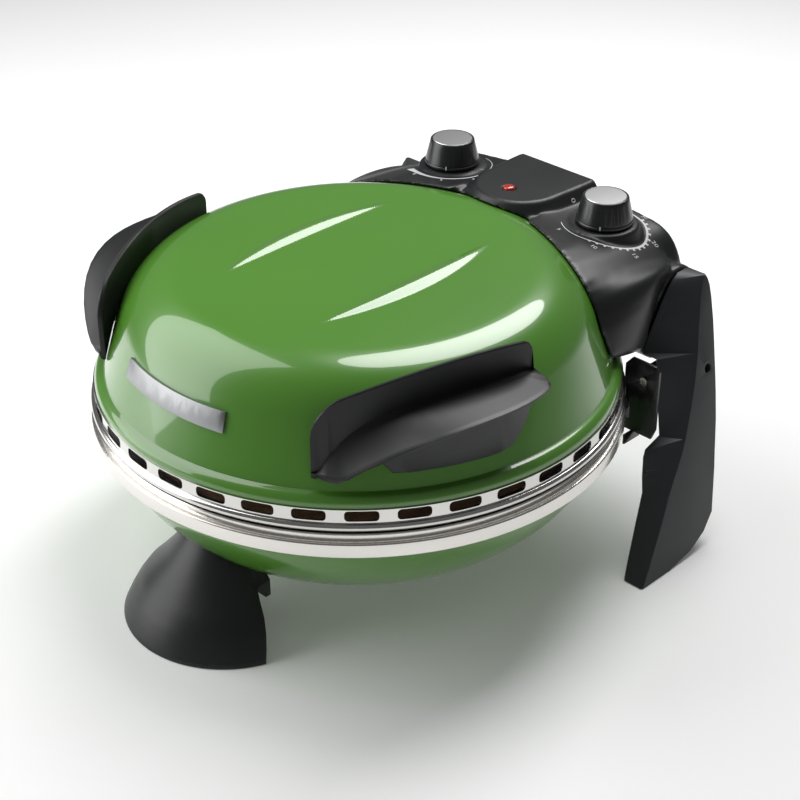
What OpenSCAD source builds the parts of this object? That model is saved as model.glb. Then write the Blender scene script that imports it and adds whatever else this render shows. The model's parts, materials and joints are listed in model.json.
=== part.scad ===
// Countertop pizza oven: a domed lid with two side grips, hinged at the back
// between two tall legs, over a shallow bowl that holds a round baking stone.
// Front is -Y. The origin is on the table, under the middle of the outline.

/* [Round body] */
// Radius of the stainless band round the base
band_r = 172; // [160:1:190]
// Height of the lower edge of the band above the table
band_z = 98; // [85:1:110]
// Height of the band
band_h = 10; // [7:0.5:14]
// Height of the top lip of the base above the band
lip_h = 6; // [4:0.5:9]
// Gap between the lip of the base and the closed lid
seat_gap = 1.6; // [1:0.1:3]
// Thickness of the pressed steel shells
sheet_t = 1.2; // [0.8:0.1:2]
// Depth of the base bowl under the band
bowl_depth = 74; // [60:1:80]

/* [Lid] */
// Height of the slotted ring, with its lower bead
ring_h = 14; // [12:0.5:18]
// Height of the rolled flange at the foot of the dome
flange_h = 8.2; // [6:0.2:11]
// Height of the dome above its flange
dome_h = 66.4; // [55:0.2:80]
// Radius of the rounded shoulder of the dome
shoulder_r = 44; // [30:1:55]
// Slope of the dome's side wall, from the horizontal
side_angle = 70; // [60:1:78]
// Radius of the slight crown of the dome
crown_r = 2500; // [1500:50:4000]
// Number of vent slots round the ring
slots = 35; // [25:1:36]
// Length of a vent slot
slot_l = 20; // [12:0.5:20.5]
// Height of a vent slot
slot_h = 7; // [4:0.5:7.5]
// Length of the two pressed ribs on top of the dome
rib_l = 147; // [90:1:160]
// Height of the two pressed ribs at their middle
rib_h = 2.2; // [1:0.1:3]
// Distance between the two pressed ribs
rib_gap = 88; // [60:1:110]

/* [Hinge] */
// Distance of the hinge axis behind the band
hinge_back = 3; // [2:0.5:8]
// Height of the hinge axis above the table
hinge_z = 155; // [150:0.5:160]
// Radius of the hinge pin
pin_r = 4; // [3:0.25:5]
// Running clearance of pins and shafts, on the radius
run_gap = 0.06; // [0.03:0.01:0.1]
// Gap between the housing's side bosses and the legs
side_gap = 0.5; // [0.3:0.1:1]
// Distance of the outer face of the housing's bosses inside the band's radius
boss_inset = 52.5; // [50:0.5:56]

/* [Legs] */
// Wall thickness of the moulded legs
leg_wall = 3; // [2:0.25:4]
// Distance of the outer bottom edge of a leg outside the band's radius
leg_splay = 8; // [4:0.5:14]
// Thickness of a leg at its foot
leg_foot_t = 15.5; // [12:0.5:18]
// Radius of the front foot where it stands on the table
foot_r = 68.3; // [55:0.5:75]
// Distance of the middle of the front foot inside the front of the band
foot_inset = 56.1; // [50:0.5:64]
// Wall thickness of the front foot
foot_wall = 3; // [2:0.25:4]

/* [Controls] */
// Distance of each knob from the middle
knob_x = 68.2; // [60:0.2:72]
// Distance of the knobs in front of the hinge axis
knob_ahead = 16.2; // [14:0.2:18]
// Height of the knobs' pedestals above the table
pedestal_z = 197.4; // [196:0.2:200]
// Height of a knob
knob_h = 17.8; // [14:0.2:22]
// Radius of a knob at its skirt
knob_r = 19; // [15:0.25:21]
// Radius of a knob at its top
knob_top_r = 15; // [12:0.25:17]
// Radius of the metal disc on a knob
disc_r = 13.8; // [9:0.2:14]
// Radius of the round part of the knob shafts
shaft_r = 3; // [2.5:0.25:4]
// Wall thickness of the control housing
housing_wall = 2.6; // [2:0.2:3.5]
// Height of the middle plateau of the control housing
plateau_z = 205; // [203:0.2:208]
// Radius of the pilot lamp's lens
lens_r = 4; // [3:0.25:5]

/* [Inside] */
// Distance of the rim of the baking stone inside the lip of the base
stone_inset = 14; // [13:0.5:24]
// Thickness of the baking stone
stone_t = 12; // [10:0.5:15]
// Radius of the heating elements' tube
tube_r = 3.25; // [2.75:0.25:4]
// Radius of the outer loop of the heating elements
loop_r = 118; // [100:1:125]

/* [Grips] */
// Height of the top edge of the grips' shields over the top of the dome
grip_rise = 1.8; // [0:0.2:6]
// Distance of the shields inside the foot of the dome, where they are nearest the middle
grip_inset = 19.5; // [17:0.5:22]
// Radius of the shields seen from above
grip_arc_r = 306; // [260:2:400]
// Reach of the grips' blades past their shields
blade_w = 34; // [26:0.5:38]
// Height of the blades below the top of the dome
blade_drop = 18.7; // [16:0.2:22]
// Thickness of the shields and the blades
grip_t = 3; // [2:0.1:4]

/* [Hidden] */
$fn = 96;

// Driving heights
lip_z = band_z + band_h + lip_h;
ring_z = lip_z + seat_gap;
ring_top = ring_z + ring_h;
crease_z = ring_top + flange_h;
top_z = crease_z + dome_h;

// Radii that follow the band
ring_r = band_r - 3;
bead_r = band_r - 0.5;
flange_r = band_r - 4;
crease_r = band_r - 10;
lip_r = band_r - 3;
bowl_r = band_r - 8.6;
stone_r = lip_r - stone_inset;

// Places that follow the band
hinge_y = band_r + hinge_back;
boss_x = band_r - boss_inset;
leg_foot_x = band_r + leg_splay;
foot_y = band_r - foot_inset;
knob_y = hinge_y - knob_ahead;
rear_y = hinge_y + 21;

// Outline of the whole oven, which sets the origin
bush_t = 1;
housing_back = rear_y + bush_t;
foot_front = foot_y + foot_r;
oven_y = (foot_front - housing_back) / 2;

fit_gap = 0.3;
face_gap = 0.02;
black = "#242527";
green = "#4E8A38";
steel = "#C9C9C7";
dark_steel = "#2E2E30";

// Places the oven's own axis over the origin of the model.
module placed() {
    translate([0, oven_y, 0]) children();
}

// Points of an arc in the plane, from one angle to another.
function arc(cx, cy, r, a0, a1, n = 8) =
    [for (i = [0:n]) let (a = a0 + (a1 - a0) * i / n) [cx + r * cos(a), cy + r * sin(a)]];

// Straight prism along X from x0 to x1, with its outline drawn in Y and Z.
module along_x(x0, x1) {
    translate([x0, 0, 0]) rotate([90, 0, 90]) linear_extrude(x1 - x0) children();
}

// Solid that joins equal rings of points, closed by its first and last ring. Each ring
// runs clockwise as seen along the way from the first ring to the last.
module loft(rings) {
    n = len(rings[0]);
    m = len(rings);
    skin = [for (i = [0:m - 2]) for (j = [0:n - 1])
        let (a = i * n + j, b = i * n + (j + 1) % n) each [[a, b + n, b], [a, a + n, b + n]]];
    first = [for (j = [0:n - 1]) j];
    last = [for (j = [0:n - 1]) m * n - 1 - j];
    polyhedron([for (ring = rings) each ring], concat([first], skin, [last]), convexity = 6);
}

// The same, closed by fans at rings that aren't flat.
function middle(ring) = [for (p = ring) 1] * ring / len(ring);
module fan_loft(rings) {
    n = len(rings[0]);
    m = len(rings);
    skin = [for (i = [0:m - 2]) for (j = [0:n - 1])
        let (a = i * n + j, b = i * n + (j + 1) % n) each [[a, b + n, b], [a, a + n, b + n]]];
    first = [for (j = [0:n - 1]) [j, (j + 1) % n, m * n]];
    last = [for (j = [0:n - 1]) [m * n - n + j, m * n + 1, m * n - n + (j + 1) % n]];
    polyhedron(concat([for (ring = rings) each ring], [middle(rings[0]), middle(rings[m - 1])]),
        concat(first, skin, last), convexity = 6);
}

// Centre of the dome's shoulder arc, tangent to the side wall and to the crown.
wall_dir = [-cos(side_angle), sin(side_angle)];
wall_0 = [crease_r - shoulder_r * sin(side_angle),
    crease_z - shoulder_r * cos(side_angle) - top_z + crown_r];
wall_dot = wall_0 * wall_dir;
wall_t = sqrt(wall_dot * wall_dot - wall_0 * wall_0 + pow(crown_r - shoulder_r, 2)) - wall_dot;
shoulder_c = wall_0 + wall_t * wall_dir + [0, top_z - crown_r];
crown_angle = atan(shoulder_c.x / (shoulder_c.y - top_z + crown_r));

// Dome section from the axis to the crease, moved outwards by an offset.
function dome_line(off) = concat(
    [for (i = [0:4]) let (a = crown_angle * i / 5)
        [(crown_r + off) * sin(a), top_z - crown_r + (crown_r + off) * cos(a)]],
    arc(shoulder_c.x, shoulder_c.y, shoulder_r + off, 90 - crown_angle, 90 - side_angle, 10),
    [[crease_r + off / sin(side_angle), crease_z]]);

// Outer radius of the dome at a height on its shoulder or side.
shoulder_end = shoulder_c.y + shoulder_r * cos(side_angle);
function dome_r(z) = z < shoulder_end ? crease_r - (z - crease_z) / tan(side_angle)
    : shoulder_c.x + sqrt(max(0, pow(shoulder_r, 2) - pow(min(z - shoulder_c.y, shoulder_r), 2)));

// Flange at the foot of the dome, moved outwards by an offset.
flange_c = [crease_r, ring_top + flange_h - (flange_r - crease_r) - 0.5];
function flange_line(off) = concat(
    arc(flange_c.x, flange_c.y, flange_r - crease_r + off, 75, 0, 5),
    [[flange_r + off, ring_top + face_gap]]);

// The whole lid's outer form as a solid, swollen by an offset, used to cut its neighbours.
module lid_form(off) {
    rotate_extrude() polygon(concat([[0, ring_z]], dome_line(off), flange_line(off),
        [[bead_r + off, ring_top], [bead_r + off, ring_z]]));
}

module lid_dome() color(green) placed() {
    inner = concat(dome_line(-sheet_t), flange_line(-sheet_t));
    difference() {
        union() {
            rotate_extrude() polygon(concat(dome_line(0), flange_line(0),
                [for (i = [len(inner) - 1:-1:0]) inner[i]]));
            for (side = [-1, 1]) translate([side * rib_gap / 2, 0, 0]) dome_rib();
        }
        for (side = [-1, 1]) translate([side * lead_x, 0, upper_z]) rotate([-90, 0, 0])
            cylinder(r = tube_r + 0.6, h = 200);
    }
}

// One pressed rib: a slender arch that dies away into the crown at both ends.
rib_drop = rib_l * rib_l / 8 / crown_r;
rib_arch_r = rib_l * rib_l / 8 / (rib_h + rib_drop);
module dome_rib() {
    half = asin(rib_l / 2 / rib_arch_r);
    difference() {
        translate([0, 0, top_z + rib_h - rib_arch_r]) rotate([0, -90, 0])
            rotate([0, 0, -half]) rotate_extrude(angle = 2 * half)
                translate([rib_arch_r - 4.5, 0]) circle(4.5);
        translate([-20, -rib_l, top_z - 30 - sheet_t / 2 - rib_drop * 3])
            cube([40, 2 * rib_l, 30]);
    }
}

// Slot outline: a rounded rectangle about the origin.
module round_slot(l, h, r) {
    polygon([for (q = [0:3]) let (sx = q == 0 || q == 3 ? 1 : -1, sy = q < 2 ? 1 : -1)
        each arc(sx * (l / 2 - r), sy * (h / 2 - r), r, 90 * q, 90 * q + 90, 4)]);
}

slot_z = ring_top - 0.6 - slot_h / 2;
bead_h = 5;
module lid_vent_ring() color(steel) placed() {
    r = bead_h / 2;
    difference() {
        rotate_extrude() polygon(concat([[ring_r - sheet_t, ring_z]],
            arc(bead_r - r, ring_z + r, r, -90, 90, 10),
            [[ring_r, ring_z + bead_h], [ring_r, ring_top], [ring_r - 9, ring_top],
            [ring_r - 9, ring_top - sheet_t], [ring_r - sheet_t, ring_top - sheet_t]]));
        for (i = [0:slots - 1]) rotate([0, 0, -90 + (i + 0.5) * 360 / slots])
            translate([ring_r - 4, 0, slot_z]) rotate([90, 0, 90])
                linear_extrude(10) round_slot(slot_l, slot_h, min(2.5, slot_h * 0.45));
    }
}

liner_h = 30;
liner_r = ring_r - 11.4;
liner_top = ring_top + liner_h;
module lid_liner() color("#B9BABB") placed() {
    t = sheet_t;
    difference() {
        rotate_extrude() polygon(concat(
            [[liner_r + 8, ring_top + face_gap], [liner_r + 8, ring_top + t], [liner_r, ring_top + t]],
            arc(liner_r - 21.6, liner_top - 14, 14, 12, 90, 6), [[0, liner_top]],
            [[0, liner_top - t]], arc(liner_r - 21.6, liner_top - 14, 14 - t, 90, 12, 6),
            [[liner_r - t, ring_top + face_gap]]));
        for (side = [-1, 1]) translate([side * lead_x, 0, upper_z]) rotate([-90, 0, 0])
            cylinder(r = tube_r + 0.4, h = 200);
    }
}

// Heating elements: an outer and an inner loop, joined by two hairpins at the front,
// with two leads that run out at the back.
inner_r = loop_r - 40;
hairpin_r = (loop_r - inner_r) / 2;
elbow_r = 18;
elbow_a = 78;
hairpin_a = 16;
lead_x = (loop_r + elbow_r) * cos(elbow_a) - elbow_r;
upper_z = ring_top + 16.4;
lower_z = band_z - 12;

// Level sections of the tube along one bend: its centre, radius, start and end angle.
sides = 10;
function tube_ring(c, r, a, sign) = [for (k = [0:sides - 1]) let (t = 360 * k / sides,
    q = r + sign * tube_r * cos(t)) [c.x + q * cos(a), c.y + q * sin(a), tube_r * sin(t)]];
function bend(c, r, a0, a1, n) = [for (i = [1:n])
    tube_ring(c, r, a0 + (a1 - a0) * i / n, a1 > a0 ? -1 : 1)];
function lead(x, y, sign) = [[for (k = [0:sides - 1]) let (t = 360 * k / sides)
    [x + sign * tube_r * cos(t), y, tube_r * sin(t)]]];

module heating_loops(lead_end) {
    e = elbow_a;
    h = 90 - hairpin_a;
    turn = loop_r + elbow_r;
    mid = loop_r - hairpin_r;
    lead_y = turn * sin(e);
    loft(concat(lead(lead_x, lead_end, 1), lead(lead_x, lead_y, 1),
        bend([turn * cos(e), turn * sin(e)], elbow_r, 180, 180 + e, 6),
        bend([0, 0], loop_r, e, -h, 15),
        bend([mid * cos(h), -mid * sin(h)], hairpin_r, -h, -h - 180, 8),
        bend([0, 0], inner_r, -h, 180 + h, 26),
        bend([-mid * cos(h), -mid * sin(h)], hairpin_r, 360 + h, 180 + h, 8),
        bend([0, 0], loop_r, 180 + h, 180 - e, 15),
        bend([-turn * cos(e), turn * sin(e)], elbow_r, 360 - e, 360, 6),
        lead(-lead_x, lead_end, -1)));
}

module upper_element() color("#4A4644") placed() translate([0, 0, upper_z])
    heating_loops(hinge_y);

module lower_element() color("#4A4644") placed() translate([0, 0, lower_z])
    heating_loops(band_r - 20);

// Strap across both loops with a post between them.
module element_clip(post) {
    gap = 0.1;
    translate([inner_r - 6, -5, -tube_r - gap - 1.5]) cube([loop_r - inner_r + 12, 10, 1.5]);
    translate([(loop_r + inner_r) / 2 - 0.75, -5, -tube_r - gap - 1.5])
        cube([1.5, 10, post + tube_r + gap + 1.5]);
}

module upper_element_clips() color(steel) placed() translate([0, 0, upper_z])
    for (a = [35, 145, 215, 325]) rotate([0, 0, a])
        element_clip(liner_top - sheet_t - upper_z - face_gap);

floor_z = lower_z - 16;
module lower_element_clips() color(steel) placed() translate([0, 0, lower_z])
    for (a = [35, 145, 215, 325]) rotate([0, 0, a]) mirror([0, 0, 1])
        element_clip(lower_z - floor_z - sheet_t - face_gap);

module base_rim_band() color(steel) placed() {
    t = sheet_t;
    roll_z = band_z + band_h - 1;
    neck_r = lip_r - 0.6;
    rotate_extrude() polygon(concat(
        [[bowl_r + 0.15, band_z], [band_r - 1, band_z], [band_r, band_z + 1], [band_r, roll_z - 1]],
        arc(band_r - 1, roll_z, 1, 0, 90, 4),
        [[neck_r + 0.6, roll_z + 1.4], [neck_r, roll_z + 2], [neck_r, lip_z - 1.6],
        [lip_r + 0.8, lip_z - 1.2], [lip_r + 1, lip_z - 0.6], [lip_r + 0.6, lip_z],
        [lip_r - 4, lip_z], [lip_r - 4, lip_z - t], [neck_r - t, lip_z - t - 0.6],
        [neck_r - t, roll_z + 0.6], [band_r - t - 0.6, roll_z - 1], [band_r - t, band_z + t + 0.6],
        [band_r - t - 1, band_z + t], [bowl_r + 0.15, band_z + t]]));
}

// Height of the bowl's outside at a radius.
function bowl_drop(q) = bowl_depth * pow(1 - pow(q, 3.65), 1 / 1.47);
function bowl_line(r, z) = [for (i = [0:16]) let (q = sin(90 * i / 16))
    [r * q, z - bowl_drop(q)]];

module base_bowl() color(green) placed() {
    inner = bowl_line(bowl_r - sheet_t, band_z + sheet_t);
    rotate_extrude() polygon(concat(bowl_line(bowl_r, band_z), [[bowl_r, band_z + 7],
        [bowl_r - sheet_t, band_z + 7]], [for (i = [len(inner) - 1:-1:0]) inner[i]]));
}

module bowl_form(off) {
    rotate_extrude() polygon(concat(bowl_line(bowl_r + off, band_z - off), [[0, band_z - off]]));
}

ledge_z = lip_z - 18;
well_r = stone_r + 2;
module base_liner() color("#A9AAAB") placed() {
    t = sheet_t;
    difference() {
        rotate_extrude() polygon([[0, floor_z], [stone_r - 20, floor_z], [stone_r - 15, floor_z + 4],
            [stone_r - 9, ledge_z - t], [well_r + t, ledge_z - t], [well_r + t, lip_z - t],
            [lip_r - 4.15, lip_z - t], [lip_r - 4.15, lip_z], [well_r, lip_z], [well_r, ledge_z],
            [stone_r - 10, ledge_z], [stone_r - 16, floor_z + 4.6], [stone_r - 20.6, floor_z + t],
            [0, floor_z + t]]);
        for (side = [-1, 1]) translate([side * lead_x, 0, lower_z]) rotate([-90, 0, 0])
            cylinder(r = tube_r + 0.4, h = stone_r);
    }
}

module baking_stone() color("#C9A98C") placed() {
    z = ledge_z + face_gap;
    rotate_extrude() polygon([[0, z], [stone_r - 1.5, z], [stone_r, z + 1.5],
        [stone_r, z + stone_t - 1.5], [stone_r - 1.5, z + stone_t], [0, z + stone_t]]);
}

// Front foot: a bell standing on the table, cut away behind, with a hub up to the bowl.
function bell_line(r) = [[r, 0], [r - 3.7, 8], [r - 8, 16], [r - 13.6, 24], [r - 21.4, 32],
    [r - 28.6, 40], [r - 36, 50], [r - 50.5, 70]];
module front_foot() color(black) placed() {
    outer = bell_line(foot_r);
    inner = bell_line(foot_r - foot_wall);
    difference() {
        union() {
            intersection() {
                translate([0, -foot_y, 0]) rotate_extrude() polygon(concat(outer,
                    [for (i = [len(inner) - 1:-1:0]) inner[i]]));
                along_x(-100, 100) polygon([[-foot_y - 90, -1], [-foot_y - 27, -1],
                    [-foot_y + 2, 72], [-foot_y - 90, 72]]);
            }
            intersection() {
                translate([0, -foot_y, 0]) rotate_extrude()
                    polygon(concat([[0, 0]], bell_line(foot_r - 1), [[0, 70]]));
                along_x(-40, 40) polygon(concat([[-foot_y - 34, 70], [-foot_y - 34, 27]],
                    [[-foot_y - 27, 27]], arc(-foot_y - 14, 27, 9, 180, 0, 8),
                    [[-foot_y - 1, 27], [-foot_y - 1, 70]]));
            }
        }
        bowl_form(face_gap * 5);
    }
}

// Control housing
block_x = boss_x - 13;
block_top = 191.5;
swing_r = 39.5;
shell_gap = 0.5;

// Section across the block: a crowned top with rounded shoulders.
module block_section(off) {
    r = 27;
    x = block_x - off;
    top = block_top - off;
    polygon(concat([[0, 100], [x, 100], [x, top - r]], arc(x - r, top - r, r, 0, 84, 10),
        [[34, top + 5.2], [0, top + 5.2]],
        [[-34, top + 5.2]], arc(r - x, top - r, r, 96, 180, 10), [[-x, 100]]));
}

// Side outline of the block: top, rear wall and the arc that clears the base as it swings.
module block_side(off) {
    y = rear_y - off;
    polygon(concat([[hinge_y - 70, 210 - off], [y - 5, 210 - off], [y, 205 - off]],
        [[y, hinge_z - 33 + off]],
        arc(hinge_y, hinge_z, swing_r - off, -57, -118, 8),
        [[hinge_y - 36, hinge_z - 26.5 + off], [hinge_y - 70, hinge_z - 20 + off]]));
}

// Outline of a side boss round the hinge axis, seen from the side.
module boss_side(r) {
    polygon(concat(arc(hinge_y, hinge_z, r, 25, 148, 12),
        arc(hinge_y, hinge_z, 44.5, 216, 240, 3), arc(hinge_y, hinge_z, swing_r, 250, 302, 5)));
}

// Point of the dome's outside at a height, moved outwards along its normal.
function dome_point(z, off) = let (a = z < shoulder_end ? 90 - side_angle
    : asin((z - shoulder_c.y) / shoulder_r))
    [dome_r(z) + off * cos(a), z + off * sin(a)];

// Side wings of the housing: smooth skins from their front edge on the dome to the ridge
// above each leg. Azimuth and height of the front edge, place of the ridge, bulge between
// them, and place of the seam beside the leg; the last two measured from the hinge axis.
wing_rows = [
    [74, 198.9, [34, 1, 42.3], [0, 0, -1.5], [34, 8, 20]],
    [64.4, 198.5, [56, 1, 41], [0, 0, -2.5], [56, 8, 20]],
    [53.2, 196.7, [80, 1, 36.5], [0, 0, 0], [80, 8, 20]],
    [46.4, 193.7, [98, 3, 29], [0, 0, 1.5], [98, 8, 18]],
    [41.2, 188.6, [108, 3, 22.5], [1, 0, 2], [104, 8, 17]],
    [39, 184.5, [115.5, -11, 25], [1.5, 0, 2], [112, 2, 19.5]],
    [37.6, 180, [121, -24, 26.5], [2.5, 0, 1.5], [118, -8, 19.5]],
    [36.6, 173.5, [124.5, -32, 22], [3, 0, 1.5], [118.5, -14.5, 14]],
    [35.7, 164, [127, -37, 13], [3.2, 0, 0], [118.8, -21.5, 5]],
    [35.4, 154, [127, -38.5, -5], [3, 0, 0], [119, -30, -11]],
    [35.4, 145, [125.5, -39, -22], [2.5, 0, 0], [119.2, -37.5, -25.5]]];
function wing_ring(row) = let (e = dome_point(row[1], 2.4), i = dome_point(row[1] - 2, -7),
    dir = [cos(row[0]), sin(row[0])], front = [e.x * dir.x, e.x * dir.y, e.y],
    axis = [boss_x - 119.5, hinge_y, hinge_z], ridge = row[2] + axis, seam = row[4] + axis)
    concat([[min(seam.x, block_x - 5), seam.y, min(seam.z, hinge_z) - 2], seam, ridge],
        [for (t = [5:-1:1]) front + (ridge - front) * t / 6 + row[3] * 4 * t * (6 - t) / 36],
        [front, [i.x * dir.x, i.x * dir.y, i.y]]);
module wing() fan_loft([for (row = wing_rows) wing_ring(row)]);

// Height of the dome's outside over a point of the plan.
function dome_top(p) = let (r = norm(p))
    r < shoulder_c.x ? top_z - crown_r + sqrt(crown_r * crown_r - r * r)
    : r < dome_r(shoulder_end) ? shoulder_c.y + sqrt(pow(shoulder_r, 2) - pow(r - shoulder_c.x, 2))
    : crease_z + (crease_r - r) * tan(side_angle);

// Raised middle of the housing, with a rounded nose over the dome and sloping sides.
plateau_w = 33.5;
module plateau_outline(grow) {
    intersection() {
        offset(r = grow) hull() {
            translate([-plateau_w, rear_y - 14]) square([2 * plateau_w, 14]);
            translate([0, hinge_y - 22.5]) circle(plateau_w - 2, $fn = 48);
        }
        translate([-100, 0]) square([200, rear_y - 4]);
    }
}
module plateau() {
    hull() for (step = [[-2, 0], [-0.6, -0.6], [0.3, -1.8], [3, -6], [6, -9]])
        translate([0, 0, plateau_z + step.y - 0.1]) linear_extrude(0.1) plateau_outline(step.x);
}

pedestal_r = 24;
module knob_pedestals() {
    for (side = [-1, 1]) translate([side * knob_x, knob_y, block_top - 8])
        cylinder(r1 = pedestal_r + 3, r2 = pedestal_r - 1.5, h = pedestal_z - block_top + 8);
}

cavity_x = block_x - housing_wall - 0.5;
module control_housing() color(black) placed() {
    w = housing_wall;
    difference() {
        union() {
            intersection() {
                translate([0, 260, 0]) rotate([90, 0, 0]) linear_extrude(200) block_section(0);
                along_x(-150, 150) block_side(0);
            }
            wing();
            mirror([1, 0, 0]) wing();
            plateau();
            knob_pedestals();
            for (side = [-1, 1]) scale([side, 1, 1]) along_x(100, boss_x) boss_side(19.5);
        }
        lid_form(shell_gap);
        intersection() {
            translate([0, rear_y - w, 0]) rotate([90, 0, 0]) linear_extrude(90)
                block_section(w);
            along_x(-cavity_x, cavity_x) block_side(w);
        }
        translate([-cavity_x, hinge_y - 25, 90])
            cube([2 * cavity_x, rear_y - w - hinge_y + 25, hinge_z - 110]);
        for (side = [-1, 1]) {
            translate([side * knob_x, knob_y, block_top - 20])
                cylinder(r = shaft_r + 1, h = 40);
            translate([side * 110, hinge_y, hinge_z]) rotate([0, 90, 0])
                cylinder(r = pin_r + run_gap, h = 30, center = true);
        }
        translate([0, lens_y, block_top - 20]) cylinder(r = lens_r + 0.06, h = 60);
        translate([bush_x, rear_y + 1, bush_z]) rotate([90, 0, 0]) cylinder(r = 6.3, h = 20);
    }
}
lens_y = hinge_y - 33.5;
bush_x = -84;
bush_z = 150;

module housing_floor() color("#333436") placed() {
    difference() {
        along_x(fit_gap - cavity_x, cavity_x - fit_gap)
            polygon(concat(arc(hinge_y, hinge_z, swing_r, -63.3, -104, 8),
                arc(hinge_y, hinge_z, swing_r - 2, -104, -62, 8)));
        lid_form(1);
    }
}

// Knobs, their discs and their shafts
knob_z = pedestal_z + 0.5;
knob_top = knob_z + knob_h;
module knob_body(side) {
    translate([side * knob_x, knob_y, 0]) difference() {
        rotate_extrude() polygon([[0, knob_z], [knob_r - 0.6, knob_z], [knob_r, knob_z + 0.6],
            [knob_r, knob_z + 2.2], [knob_r - 0.7, knob_z + 2.6], [knob_r - 0.4, knob_z + 3.2],
            [knob_top_r + 0.2, knob_top - 0.6], [knob_top_r - 0.3, knob_top],
            [disc_r + 0.1, knob_top], [disc_r + 0.1, knob_top - 1.2], [0, knob_top - 1.2]]);
        translate([0, 0, knob_z - 1]) cylinder(r = shaft_r + 0.03, h = 12);
        rotate_extrude() polygon([[6, knob_z - 1], [knob_r - 4, knob_z - 1],
            [knob_top_r - 2, knob_top - 4], [6, knob_top - 4]]);
    }
}

module thermostat_knob() color("#1D1E20") placed() knob_body(-1);
module timer_knob() color("#1D1E20") placed() knob_body(1);

module knob_disc(side) {
    translate([side * knob_x, knob_y, knob_top - 1.2 + face_gap]) rotate_extrude()
        polygon([[0, 0], [disc_r, 0], [disc_r, 0.9], [disc_r - 0.4, 1.2], [0, 1.5]]);
}

module thermostat_knob_disc() color("#BEBFC0") placed() knob_disc(-1);
module timer_knob_disc() color("#BEBFC0") placed() knob_disc(1);

// Shaft from the switch body below up into the knob.
body_top = block_top - housing_wall - 1.2;
module knob_shaft(side) {
    z0 = body_top - 8;
    translate([side * knob_x, knob_y, z0]) cylinder(r = shaft_r, h = knob_z + 10.8 - z0);
}

module thermostat_shaft() color(steel) placed() knob_shaft(-1);
module timer_shaft() color(steel) placed() knob_shaft(1);

// Switch body hung under the top of the housing.
module switch_body(side, l, w, h) {
    translate([side * knob_x, knob_y, 0]) difference() {
        union() {
            translate([-l / 2, -w / 2 + 3, body_top - h]) cube([l, w, h]);
            translate([0, 0, body_top - 0.01]) cylinder(r = shaft_r + 0.9, h = 2);
        }
        translate([0, 0, body_top - 8.3]) cylinder(r = shaft_r + run_gap, h = 20);
    }
}

module thermostat_body() color("#D8D2C4") placed() switch_body(-1, 24, 20, 20);
module timer_body() color("#B7B8B9") placed() switch_body(1, 30, 20, 22);

module pilot_lens() color("#C8281E") placed() translate([0, lens_y, 0]) rotate_extrude()
    polygon(concat([[0, plateau_z - 6], [lens_r, plateau_z - 6], [lens_r, plateau_z + 0.4]],
        [for (a = [15:15:90]) [lens_r * cos(a), plateau_z + 0.4 + 1.4 * sin(a)]]));

module pilot_lamp() color("#E9C9A0") placed() translate([0, lens_y, plateau_z - 14])
    cylinder(r = lens_r - 0.6, h = 8 - face_gap);

module terminal_block() color("#E4E2DA") placed() {
    y = rear_y - housing_wall - face_gap;
    difference() {
        translate([-18, y - 12, 150]) cube([36, 12, 14]);
        for (i = [-1:1]) translate([i * 11, y - 13, 157]) rotate([-90, 0, 0])
            cylinder(r = 2, h = 8);
    }
}

module cord_bush() color("#1A1A1B") placed() translate([bush_x, 0, bush_z]) {
    difference() {
        union() {
            translate([0, rear_y + bush_t, 0]) rotate([90, 0, 0])
                cylinder(r = 8.5, h = bush_t - face_gap);
            translate([0, rear_y + 1, 0]) rotate([90, 0, 0]) cylinder(r = 6.2, h = 8);
        }
        translate([0, rear_y + 5, 0]) rotate([90, 0, 0]) cylinder(r = 3.6, h = 30);
    }
}

// Steel arms that carry the dome from the hinge pins
arm_t = 2.4;
arm_x = cavity_x - arm_t - 0.2;
module lid_hinge_arms() color(dark_steel) placed() for (side = [-1, 1])
    scale([side, 1, 1]) difference() {
        along_x(arm_x, arm_x + arm_t) polygon(concat(arc(hinge_y, hinge_z, 10, -70, 110, 12),
            [[hinge_y - 22, hinge_z + 12], [hinge_y - 38, hinge_z + 6],
            [hinge_y - 38, hinge_z - 22], [hinge_y - 20, hinge_z - 22]]));
        translate([arm_x + 1, hinge_y, hinge_z]) rotate([0, 90, 0])
            cylinder(r = pin_r + run_gap, h = 30, center = true);
    }

// Legs
leg_lean = 0.26;
boss_gap_x = boss_x + side_gap;
function leg_out(z) = leg_foot_x - leg_lean * z;
function leg_in(z) = z < 127 ? leg_out(z) - leg_foot_t : boss_gap_x;
leg_open = 4;
// Height, front edge inside, front edge outside and rear edge of a leg's level sections,
// all measured from the hinge axis but the height.
leg_rows = [[0, -98, -98, -67], [3.6, -96, -95, -44], [10.5, -92, -89, -28],
    [20, -86, -81.5, -17], [33, -78, -71, -13], [48, -68.4, -60, -8.3],
    [58, -66.4, -51.5, -5.8], [70, -62.5, -41, -2.5], [74, -59.5, -38.5, -1.4],
    [77.5, -44, -36, -0.5], [94.5, -41.5, -26.5, 3], [109, -39, -19.2, 5.4],
    [126.9, -36, -12.2, 8], [127, -36, -12.1, 8.1], [143, -28, -7.7, 10.2],
    [158, -19.4, -2.7, 11.3], [166, -13.7, 0.3, 11.2], [170.5, -9, 2.8, 10],
    [173.4, -4.5, 5, 8]];

// Level section of a leg with small chamfers, drawn in by a wall on its three closed sides
// and moved by a distance on the inner one.
function leg_ring(row, wall, inner) = let (z = row[0], xo = leg_out(z) - wall,
    xi = leg_in(z) + inner, f0 = hinge_y + row[1] + wall, f1 = hinge_y + row[2] + wall,
    b = hinge_y + row[3] - wall, c = min(1.2, (b - f1) / 3))
    [[xi, f0 + c, z], [xi + c, f0, z], [xo - c, f1, z], [xo, f1 + c, z],
    [xo, b - c, z], [xo - c, b, z], [xi + c, b, z], [xi, b - c, z]];

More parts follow.
